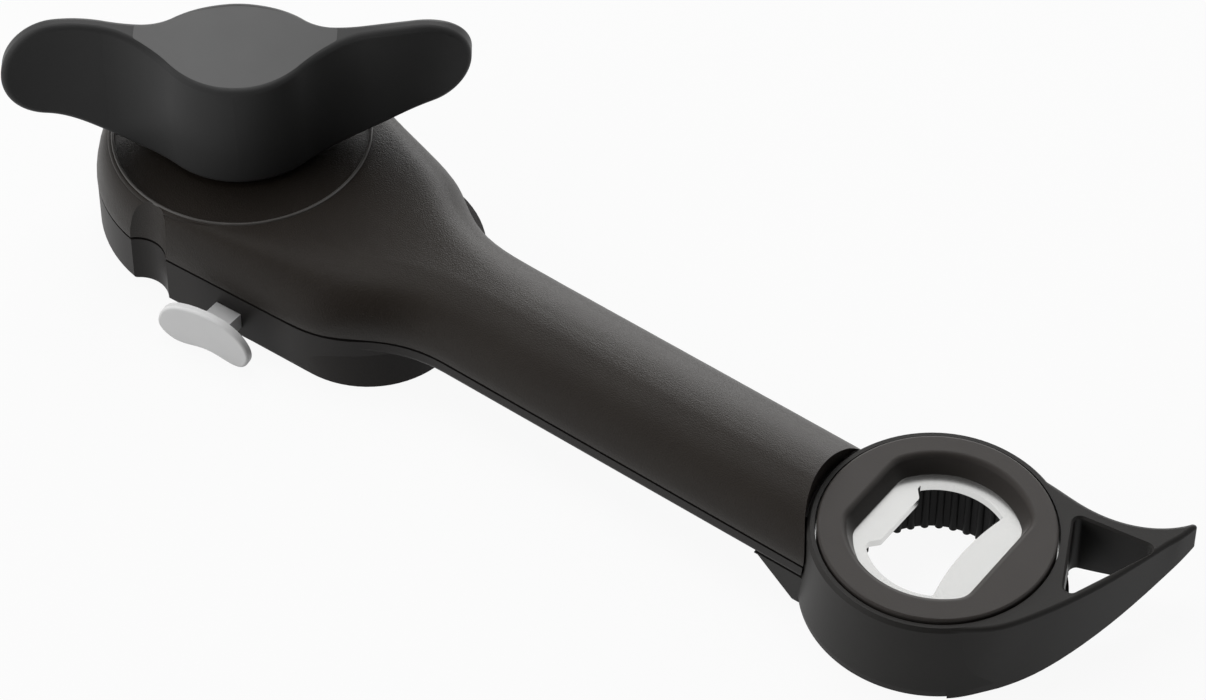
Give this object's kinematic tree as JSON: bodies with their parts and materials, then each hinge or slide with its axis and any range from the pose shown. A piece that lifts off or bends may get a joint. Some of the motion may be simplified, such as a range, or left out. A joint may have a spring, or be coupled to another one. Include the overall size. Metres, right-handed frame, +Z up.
{
  "type": "manual can opener",
  "caption": "Manual can opener: drum head with winged turning knob, cutter and lid pincher button, straight handle, tail ring with bottle-cap lifter, jar grip and claw.",
  "frame": {"origin": "on the knob's axis, at the plane that the tool lies on, where a can's rim enters the head", "axes": "+X along the handle towards the tail ring, +Y away from the pincher button, +Z up along the knob's axis"},
  "size_m": [0.238, 0.0686, 0.0505],
  "materials": {
    "shell_plastic": "fine moulded grain, warm black",
    "knob_plastic": "smooth satin black",
    "pad_rubber": "soft-touch dark grey",
    "ring_plastic": "fine matte black",
    "bezel_plastic": "satin brown-grey",
    "button_plastic": "light grey, fine grain",
    "opener_steel": "satin stainless",
    "sheet_steel": "pressed sheet",
    "turned_steel": "turned and hardened",
    "screw_steel": "zinc plated",
    "spring_steel": "drawn wire",
    "bush_plastic": "natural acetal",
    "grip_rubber": "ribbed black"
  },
  "bodies": {
    "housing": {"upper_shell": "shell_plastic", "lower_shell": "shell_plastic", "housing_screws": "screw_steel", "bearing_plate": "sheet_steel", "plate_screws": "screw_steel", "upper_bush": "bush_plastic", "lower_bush": "bush_plastic", "carrier_pivot_pin": "turned_steel", "fixed_jaw": "sheet_steel", "jaw_rivet": "turned_steel", "tail_ring": "ring_plastic", "ring_lower_lip": "ring_plastic", "ring_bezel": "bezel_plastic", "bottle_opener_plate": "opener_steel", "jar_grip_liner": "grip_rubber"},
    "knob": {"turning_knob": "knob_plastic", "knob_top_pad": "pad_rubber", "knob_screw": "screw_steel", "drive_shaft": "turned_steel", "thrust_washer": "turned_steel", "retaining_clip": "turned_steel", "feed_wheel": "turned_steel", "feed_wheel_screw": "screw_steel"},
    "carrier": {"cutter_carrier": "sheet_steel", "cutter_axle": "turned_steel"},
    "cutter": {"cutting_wheel": "turned_steel"},
    "button": {"pincher_button": "button_plastic", "moving_jaw": "sheet_steel", "pincher_spring": "spring_steel"}
  },
  "joints": [
    {"name": "knob_turn", "type": "hinge", "parent": "housing", "child": "knob", "pos_m": [0, 0, 0.02], "axis": [0, 0, 1], "continuous": true},
    {"name": "carrier_swing", "type": "hinge", "parent": "housing", "child": "carrier", "pos_m": [-0.0135, -0.0158, 0.005], "axis": [0, 0, 1], "range_deg": [0, 18]},
    {"name": "cutter_spin", "type": "hinge", "parent": "carrier", "child": "cutter", "pos_m": [0, -0.0169, 0.003], "axis": [0, 0, 1], "continuous": true},
    {"name": "pincher_press", "type": "slide", "parent": "housing", "child": "button", "axis": [0, 1, 0], "range_m": [0, 0.0034], "stiffness_N_per_m": 300, "springref_m": -0.003, "deforming": ["pincher_spring"]}
  ]
}
